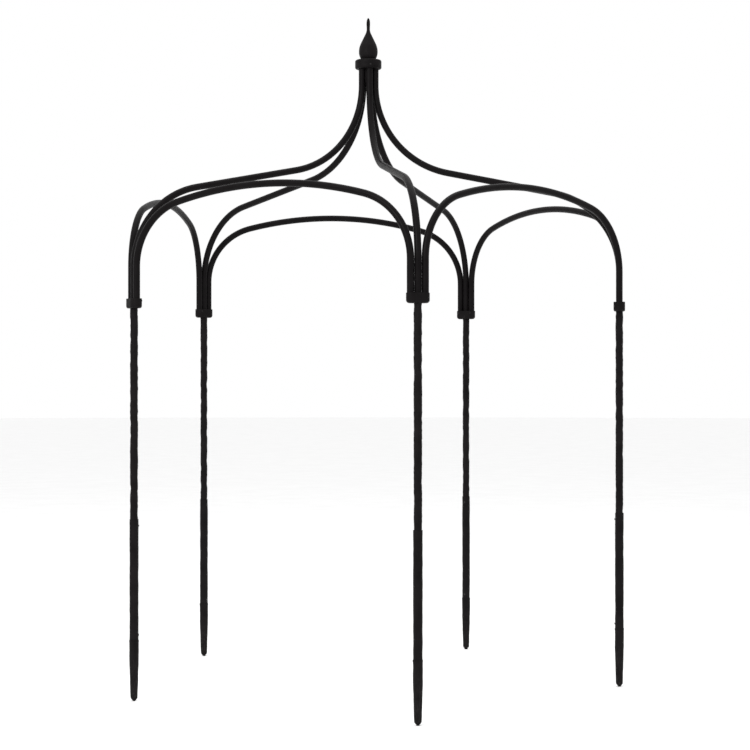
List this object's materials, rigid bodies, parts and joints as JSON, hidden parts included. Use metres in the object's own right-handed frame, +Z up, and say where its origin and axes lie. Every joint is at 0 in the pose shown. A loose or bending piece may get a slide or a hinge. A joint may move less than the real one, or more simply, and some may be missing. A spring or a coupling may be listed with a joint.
{
  "type": "garden gazebo frame",
  "caption": "Open garden gazebo frame of dark tube: straight staked posts on a circle, an arch from post to post, and ogee ribs that meet in a crown with a flame finial.",
  "frame": {"origin": "on the frame's centre line at ground level, the centre of the circle of posts; the stake points are 250 mm lower", "axes": "+Z up along the centre line, -Y from the centre line to the front post, +X to the right as seen from the front"},
  "size_m": [2.3904, 2.276, 3.2473],
  "materials": {
    "frame_paint": "satin near-black coating on steel tube, hammered on the posts",
    "casting_paint": "satin near-black coating on castings",
    "dark_fasteners": "blackened steel, slightly glossier"
  },
  "bodies": {
    "root": {"ground_stake_1": "frame_paint", "ground_stake_2": "frame_paint", "ground_stake_3": "frame_paint", "ground_stake_4": "frame_paint", "ground_stake_5": "frame_paint", "lower_post_1": "frame_paint", "lower_post_2": "frame_paint", "lower_post_3": "frame_paint", "lower_post_4": "frame_paint", "lower_post_5": "frame_paint", "upper_post_1": "frame_paint", "upper_post_2": "frame_paint", "upper_post_3": "frame_paint", "upper_post_4": "frame_paint", "upper_post_5": "frame_paint", "post_collar_1": "casting_paint", "post_collar_2": "casting_paint", "post_collar_3": "casting_paint", "post_collar_4": "casting_paint", "post_collar_5": "casting_paint", "arch_1": "frame_paint", "arch_2": "frame_paint", "arch_3": "frame_paint", "arch_4": "frame_paint", "arch_5": "frame_paint", "rib_1": "frame_paint", "rib_2": "frame_paint", "rib_3": "frame_paint", "rib_4": "frame_paint", "rib_5": "frame_paint", "crown_hub": "casting_paint", "crown_core": "casting_paint", "tie_rod": "dark_fasteners", "crown_washer": "dark_fasteners", "crown_nut": "dark_fasteners", "finial": "casting_paint", "stake_screws": "dark_fasteners", "splice_screws": "dark_fasteners", "post_set_screws": "dark_fasteners", "tube_set_screws": "dark_fasteners", "hub_set_screws": "dark_fasteners"}
  },
  "joints": []
}
